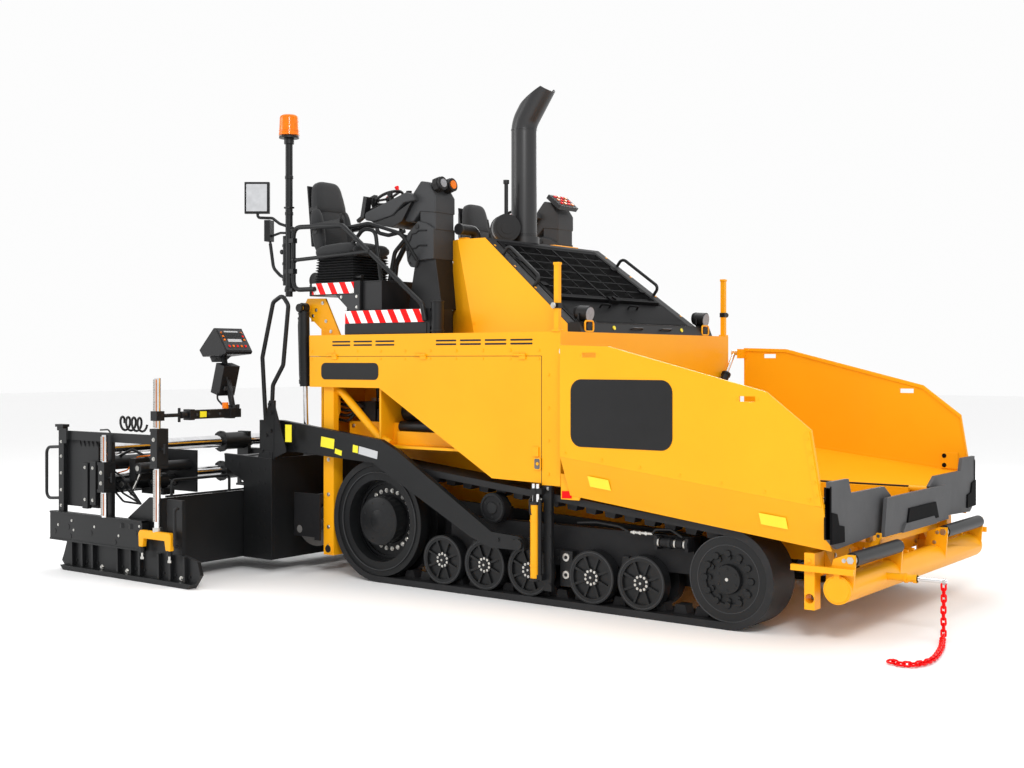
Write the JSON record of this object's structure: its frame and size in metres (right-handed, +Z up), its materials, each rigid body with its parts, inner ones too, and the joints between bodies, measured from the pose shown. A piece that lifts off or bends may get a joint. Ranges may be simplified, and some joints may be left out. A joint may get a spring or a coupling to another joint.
{
  "type": "tracked asphalt paver",
  "caption": "Tracked asphalt paver with folding hopper wings, slat conveyor, augers, two operator stations and an extending screed raised by cylinders.",
  "frame": {"origin": "on the ground under the middle of the machine's bounding box", "axes": "+X forward towards the hopper, +Y to the machine's left, +Z up"},
  "size_m": [7.799, 5.028, 4.2166],
  "materials": {
    "yellow_paint": "warm yellow gloss paint",
    "black_paint": "satin black paint",
    "engine_grey": "plain",
    "worn_steel": "worn dark steel",
    "exhaust_steel": "heat-proof black paint",
    "chrome": "hard chrome",
    "track_rubber": "dusty rubber",
    "black_rubber": "matt",
    "black_plastic": "matt",
    "amber_plastic": "clear amber",
    "red_plastic": "gloss",
    "seat_fabric": "dark woven cover"
  },
  "bodies": {
    "chassis": {"main_frame": "yellow_paint", "conveyor": "worn_steel", "engine_block": "engine_grey", "track_right": "track_rubber", "track_left": "track_rubber", "drive_wheels": "black_paint", "idler_wheels": "black_paint", "bogies": "black_paint", "track_frames": "yellow_paint", "front_beam": "yellow_paint", "guide_rod": "chrome", "guide_chain": "red_plastic", "bulkhead": "yellow_paint", "deck": "yellow_paint", "inner_body": "yellow_paint", "hood": "yellow_paint", "grille": "black_plastic", "lamp_band": "black_plastic", "grab_rails": "black_paint", "exhaust": "exhaust_steel", "duct": "black_plastic", "guide_posts": "yellow_paint", "rear_posts": "yellow_paint", "station_right": "black_paint", "station_left": "black_paint", "seat_stands": "black_rubber", "seat_right": "seat_fabric", "seat_left": "seat_fabric", "consoles": "black_plastic", "rails": "black_paint", "beacon": "amber_plastic", "tow_guides": "black_paint", "auger_frame": "black_paint"},
    "wing_right": {"wing_right": "yellow_paint", "wing_apron_right": "black_rubber"},
    "wing_left": {"wing_left": "yellow_paint", "wing_apron_left": "black_rubber"},
    "centre_apron": {"centre_apron": "black_rubber"},
    "push_roller_right": {"push_roller_right": "black_paint"},
    "push_roller_left": {"push_roller_left": "black_paint"},
    "side_door_right": {"side_door_right": "yellow_paint"},
    "side_door_left": {"side_door_left": "yellow_paint"},
    "screed": {"tow_arms": "black_paint", "screed_frame": "black_paint", "screed_walkway": "black_paint", "screed_handles": "black_paint"},
    "extension_right": {"extension_right": "black_paint", "extension_chrome_right": "chrome"},
    "extension_left": {"extension_left": "black_paint", "extension_chrome_left": "chrome"},
    "auger_right": {"auger_right": "worn_steel"},
    "auger_left": {"auger_left": "worn_steel"},
    "lift_barrels": {"lift_barrels": "black_paint"},
    "lift_rods": {"lift_rods": "chrome"},
    "wing_barrel_right": {"wing_barrel_right": "black_paint"},
    "wing_barrel_left": {"wing_barrel_left": "black_paint"},
    "wing_rod_right": {"wing_rod_right": "chrome"},
    "wing_rod_left": {"wing_rod_left": "chrome"},
    "steering_wheel_right": {"steering_wheel_right": "black_plastic"},
    "steering_wheel_left": {"steering_wheel_left": "black_plastic"}
  },
  "joints": [
    {"name": "wing_fold_right", "type": "hinge", "parent": "chassis", "child": "wing_right", "pos_m": [2.2525, -0.64, 0.86], "axis": [-1, 0, 0], "range_deg": [0, 45]},
    {"name": "wing_ram_swing_right", "type": "hinge", "parent": "chassis", "child": "wing_barrel_right", "pos_m": [1.1785, -0.88, 1.34], "axis": [-1, 0, 0], "range_deg": [0, 71.09]},
    {"name": "wing_ram_stroke_right", "type": "slide", "parent": "wing_barrel_right", "child": "wing_rod_right", "axis": [0, -0.6421, 0.7666], "range_m": [0, 0.15914]},
    {"name": "push_roller_spin_right", "type": "hinge", "parent": "chassis", "child": "push_roller_right", "pos_m": [3.3985, -0.885, 0.562], "axis": [0, 1, 0], "continuous": true},
    {"name": "side_door_swing_right", "type": "hinge", "parent": "chassis", "child": "side_door_right", "pos_m": [-0.2835, -1.35, 1.9], "axis": [-1, 0, 0], "range_deg": [0, 80]},
    {"name": "auger_spin_right", "type": "hinge", "parent": "chassis", "child": "auger_right", "pos_m": [-1.6425, -0.7, 0.383], "axis": [0, 1, 0], "continuous": true},
    {"name": "extension_slide_right", "type": "slide", "parent": "screed", "child": "extension_right", "axis": [0, -1, 0], "range_m": [-0.88, 0.58]},
    {"name": "steering_spin_right", "type": "hinge", "parent": "chassis", "child": "steering_wheel_right", "pos_m": [-0.965, -0.895, 3.2135], "axis": [-0.408, 0, 0.913], "range_deg": [-135, 135]},
    {"name": "wing_fold_left", "type": "hinge", "parent": "chassis", "child": "wing_left", "pos_m": [2.2525, 0.64, 0.86], "axis": [1, 0, 0], "range_deg": [0, 45]},
    {"name": "wing_ram_swing_left", "type": "hinge", "parent": "chassis", "child": "wing_barrel_left", "pos_m": [1.1785, 0.88, 1.34], "axis": [1, 0, 0], "range_deg": [0, 71.09]},
    {"name": "wing_ram_stroke_left", "type": "slide", "parent": "wing_barrel_left", "child": "wing_rod_left", "axis": [0, 0.6421, 0.7666], "range_m": [0, 0.15914]},
    {"name": "push_roller_spin_left", "type": "hinge", "parent": "chassis", "child": "push_roller_left", "pos_m": [3.3985, 0.885, 0.562], "axis": [0, 1, 0], "continuous": true},
    {"name": "side_door_swing_left", "type": "hinge", "parent": "chassis", "child": "side_door_left", "pos_m": [-0.2835, 1.35, 1.9], "axis": [1, 0, 0], "range_deg": [0, 80]},
    {"name": "auger_spin_left", "type": "hinge", "parent": "chassis", "child": "auger_left", "pos_m": [-1.6425, 0.7, 0.383], "axis": [0, 1, 0], "continuous": true},
    {"name": "extension_slide_left", "type": "slide", "parent": "screed", "child": "extension_left", "axis": [0, 1, 0], "range_m": [-0.88, 0.58]},
    {"name": "steering_spin_left", "type": "hinge", "parent": "chassis", "child": "steering_wheel_left", "pos_m": [-0.965, 0.895, 3.2135], "axis": [-0.408, 0, 0.913], "range_deg": [-135, 135]},
    {"name": "centre_apron_tip", "type": "hinge", "parent": "chassis", "child": "centre_apron", "pos_m": [3.3385, 0, 0.648], "axis": [0, 1, 0], "range_deg": [0, 60]},
    {"name": "screed_lift", "type": "hinge", "parent": "chassis", "child": "screed", "pos_m": [0.7895, 0, 0.458], "axis": [0, 1, 0], "range_deg": [0, 6.5]},
    {"name": "lift_ram_swing", "type": "hinge", "parent": "chassis", "child": "lift_barrels", "pos_m": [-1.6825, 0, 2.318], "axis": [0, 1, 0], "range_deg": [-8.18, 0]},
    {"name": "lift_ram_stroke", "type": "slide", "parent": "lift_barrels", "child": "lift_rods", "axis": [-0.0274, 0, 0.9996], "range_m": [0, 0.26035]}
  ],
  "couplings": [
    {"joint": "wing_ram_swing_right", "follows": "wing_fold_right", "ratio": 1.5798},
    {"joint": "wing_ram_stroke_right", "follows": "wing_fold_right", "m_per_rad": 0.20249},
    {"joint": "wing_ram_swing_left", "follows": "wing_fold_left", "ratio": 1.5798},
    {"joint": "wing_ram_stroke_left", "follows": "wing_fold_left", "m_per_rad": 0.20249},
    {"joint": "lift_ram_swing", "follows": "screed_lift", "ratio": -1.2592},
    {"joint": "lift_ram_stroke", "follows": "screed_lift", "m_per_rad": 2.2941}
  ]
}
